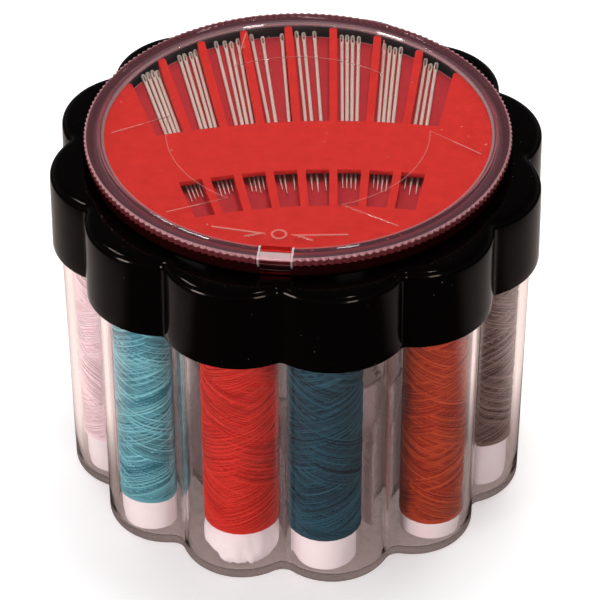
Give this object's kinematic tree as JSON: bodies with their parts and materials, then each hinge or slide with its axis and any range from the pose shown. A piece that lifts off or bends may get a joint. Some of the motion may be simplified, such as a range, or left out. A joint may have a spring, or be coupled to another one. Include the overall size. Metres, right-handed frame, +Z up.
{
  "type": "sewing kit tub",
  "caption": "Clear scalloped sewing kit tub with a thread spool in each lobe, an inner cup, a black push-on lid and a needle compact with a clear turning cover.",
  "frame": {"origin": "middle of the tub's flat underside", "axes": "+Z up along the tub's axis; -Y is the front, towards the valley between two lobes that the needle compact's notch sits over"},
  "size_m": [0.0856, 0.0856, 0.0698],
  "materials": {
    "clear_plastic": "clear moulded polystyrene, faintly pink-grey",
    "black_plastic": "glossy black moulding",
    "dark_red_plastic": "satin red moulding",
    "red_plastic": "satin red moulding",
    "clear_cover_plastic": "clear moulded polystyrene",
    "needle_steel": "polished nickel-plated steel",
    "white_paper": "white wound paper",
    "pink_thread": "cross-wound spun thread",
    "turquoise_thread": "cross-wound spun thread",
    "red_thread": "cross-wound spun thread",
    "dark_teal_thread": "cross-wound spun thread",
    "rust_thread": "cross-wound spun thread",
    "taupe_thread": "cross-wound spun thread",
    "yellow_thread": "cross-wound spun thread",
    "apricot_thread": "cross-wound spun thread",
    "white_thread": "cross-wound spun thread",
    "purple_thread": "cross-wound spun thread",
    "green_thread": "cross-wound spun thread",
    "navy_thread": "cross-wound spun thread"
  },
  "bodies": {
    "tub": {"clear_tub": "clear_plastic", "spool_cradle": "clear_plastic"},
    "lid": {"black_lid": "black_plastic"},
    "compact": {"compact_base": "dark_red_plastic", "fan_plate": "red_plastic", "needles_1": "needle_steel", "needles_2": "needle_steel", "needles_3": "needle_steel", "needles_4": "needle_steel", "needles_5": "needle_steel", "needles_6": "needle_steel", "needles_7": "needle_steel", "needles_8": "needle_steel"},
    "dial": {"dial_cover": "clear_cover_plastic"},
    "spool_01": {"spool_core_01": "white_paper", "thread_01": "pink_thread"},
    "spool_02": {"spool_core_02": "white_paper", "thread_02": "turquoise_thread"},
    "spool_03": {"spool_core_03": "white_paper", "thread_03": "red_thread"},
    "spool_04": {"spool_core_04": "white_paper", "thread_04": "dark_teal_thread"},
    "spool_05": {"spool_core_05": "white_paper", "thread_05": "rust_thread"},
    "spool_06": {"spool_core_06": "white_paper", "thread_06": "taupe_thread"},
    "spool_07": {"spool_core_07": "white_paper", "thread_07": "yellow_thread"},
    "spool_08": {"spool_core_08": "white_paper", "thread_08": "apricot_thread"},
    "spool_09": {"spool_core_09": "white_paper", "thread_09": "white_thread"},
    "spool_10": {"spool_core_10": "white_paper", "thread_10": "purple_thread"},
    "spool_11": {"spool_core_11": "white_paper", "thread_11": "green_thread"},
    "spool_12": {"spool_core_12": "white_paper", "thread_12": "navy_thread"}
  },
  "joints": [
    {"name": "lid_lift", "type": "slide", "parent": "tub", "child": "lid", "axis": [0, 0, 1], "range_m": [0, 0.04]},
    {"name": "compact_lift", "type": "slide", "parent": "lid", "child": "compact", "axis": [0, 0, 1], "range_m": [0, 0.02]},
    {"name": "dial_turn", "type": "hinge", "parent": "compact", "child": "dial", "pos_m": [0, 0, 0.069], "axis": [0, 0, 1], "continuous": true},
    {"name": "spool_turn_01", "type": "hinge", "parent": "tub", "child": "spool_01", "pos_m": [-0.03307, -0.00998, 0.03], "axis": [0, 0, 1], "continuous": true},
    {"name": "spool_turn_02", "type": "hinge", "parent": "tub", "child": "spool_02", "pos_m": [-0.02465, -0.02484, 0.03], "axis": [0, 0, 1], "continuous": true},
    {"name": "spool_turn_03", "type": "hinge", "parent": "tub", "child": "spool_03", "pos_m": [-0.00777, -0.03302, 0.03], "axis": [0, 0, 1], "continuous": true},
    {"name": "spool_turn_04", "type": "hinge", "parent": "tub", "child": "spool_04", "pos_m": [0.00714, -0.0332, 0.03], "axis": [0, 0, 1], "continuous": true},
    {"name": "spool_turn_05", "type": "hinge", "parent": "tub", "child": "spool_05", "pos_m": [0.02539, -0.0239, 0.03], "axis": [0, 0, 1], "continuous": true},
    {"name": "spool_turn_06", "type": "hinge", "parent": "tub", "child": "spool_06", "pos_m": [0.03342, -0.00895, 0.03], "axis": [0, 0, 1], "continuous": true},
    {"name": "spool_turn_07", "type": "hinge", "parent": "tub", "child": "spool_07", "pos_m": [0.03343, 0.0083, 0.03], "axis": [0, 0, 1], "continuous": true},
    {"name": "spool_turn_08", "type": "hinge", "parent": "tub", "child": "spool_08", "pos_m": [0.02434, 0.02498, 0.03], "axis": [0, 0, 1], "continuous": true},
    {"name": "spool_turn_09", "type": "hinge", "parent": "tub", "child": "spool_09", "pos_m": [0.00919, 0.03303, 0.03], "axis": [0, 0, 1], "continuous": true},
    {"name": "spool_turn_10", "type": "hinge", "parent": "tub", "child": "spool_10", "pos_m": [-0.00972, 0.03323, 0.03], "axis": [0, 0, 1], "continuous": true},
    {"name": "spool_turn_11", "type": "hinge", "parent": "tub", "child": "spool_11", "pos_m": [-0.02356, 0.02489, 0.03], "axis": [0, 0, 1], "continuous": true},
    {"name": "spool_turn_12", "type": "hinge", "parent": "tub", "child": "spool_12", "pos_m": [-0.03367, 0.00876, 0.03], "axis": [0, 0, 1], "continuous": true}
  ]
}
